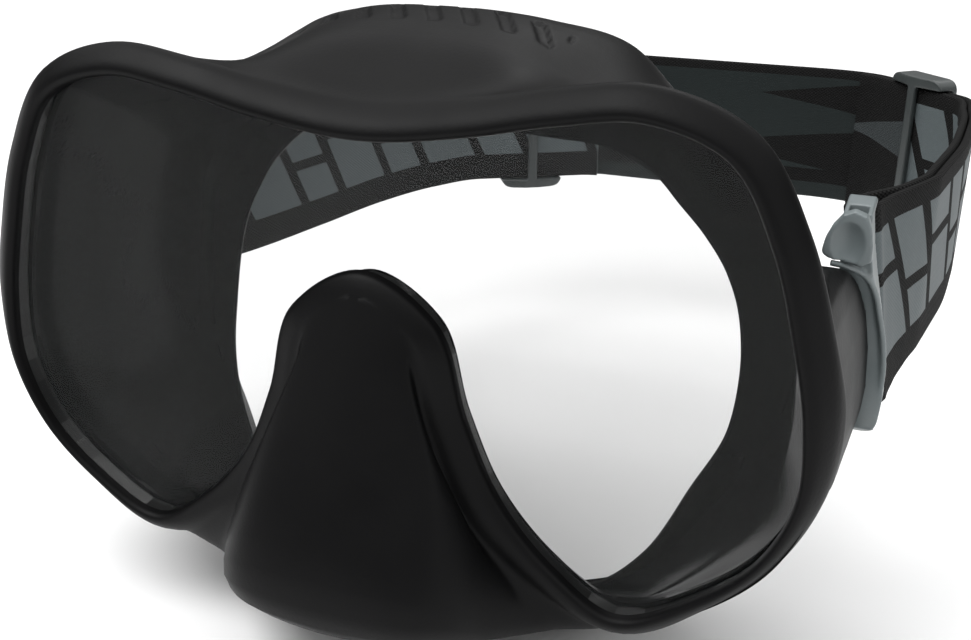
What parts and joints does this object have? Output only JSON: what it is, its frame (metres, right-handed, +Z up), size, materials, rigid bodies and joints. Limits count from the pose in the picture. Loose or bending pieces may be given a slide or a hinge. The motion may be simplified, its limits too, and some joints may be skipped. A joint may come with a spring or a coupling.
{
  "type": "diving mask",
  "caption": "Single-pane diving mask with a moulded skirt and nose pocket, swivelling side buckles and a folded webbing head strap with sliders.",
  "frame": {"origin": "on the symmetry plane of the mask, 50 mm behind the pane's front face and 4 mm above the buckle pivots, where the face seal meets the face", "axes": "+X to the wearer's left, +Y from the pane back to the face and the back of the head, +Z up"},
  "size_m": [0.1837, 0.2084, 0.1175],
  "materials": {
    "silicone": "moulded, satin",
    "glass": "clear, flat, polished",
    "black_plastic": "moulded",
    "grey_plastic": "moulded, satin",
    "steel": "drawn wire and turned",
    "webbing": "woven elastic, printed face"
  },
  "bodies": {
    "mask": {"skirt": "silicone", "lens": "glass", "lens_frame": "black_plastic", "left_pivot_base": "black_plastic", "left_pivot_pin": "steel", "left_pivot_clip": "steel", "right_pivot_base": "black_plastic", "right_pivot_pin": "steel", "right_pivot_clip": "steel"},
    "left_fitting": {"left_buckle": "grey_plastic", "left_strap_bar": "steel", "left_tab_pin": "steel", "left_tab_spring": "steel", "head_strap": "webbing"},
    "right_fitting": {"right_buckle": "grey_plastic", "right_strap_bar": "steel", "right_tab_pin": "steel", "right_tab_spring": "steel"},
    "left_tab": {"left_release_tab": "grey_plastic"},
    "right_tab": {"right_release_tab": "grey_plastic"},
    "left_glide": {"left_slider": "grey_plastic"},
    "right_glide": {"right_slider": "grey_plastic"}
  },
  "joints": [
    {"name": "left_swivel", "type": "hinge", "parent": "mask", "child": "left_fitting", "pos_m": [0.0768, -0.028, -0.004], "axis": [1, 0, 0], "range_deg": [-22, 22]},
    {"name": "right_swivel", "type": "hinge", "parent": "mask", "child": "right_fitting", "pos_m": [-0.0768, -0.028, -0.004], "axis": [1, 0, 0], "range_deg": [-22, 22]},
    {"name": "left_tab_press", "type": "hinge", "parent": "left_fitting", "child": "left_tab", "pos_m": [0.0761, -0.0105, 0.0182], "axis": [1, 0, 0], "range_deg": [-14, 0], "stiffness_Nm_per_rad": 0.02, "springref_deg": 14.32},
    {"name": "right_tab_press", "type": "hinge", "parent": "right_fitting", "child": "right_tab", "pos_m": [-0.0761, -0.0105, 0.0182], "axis": [1, 0, 0], "range_deg": [-14, 0], "stiffness_Nm_per_rad": 0.02, "springref_deg": 14.32},
    {"name": "left_slide", "type": "slide", "parent": "left_fitting", "child": "left_glide", "axis": [-0.6922, 0.7217, 0], "range_m": [-0.004, 0.004]},
    {"name": "right_slide", "type": "slide", "parent": "left_fitting", "child": "right_glide", "axis": [-0.8586, -0.5127, 0], "range_m": [-0.004, 0.004]}
  ],
  "couplings": [
    {"joint": "right_swivel", "follows": "left_swivel", "ratio": 1}
  ]
}
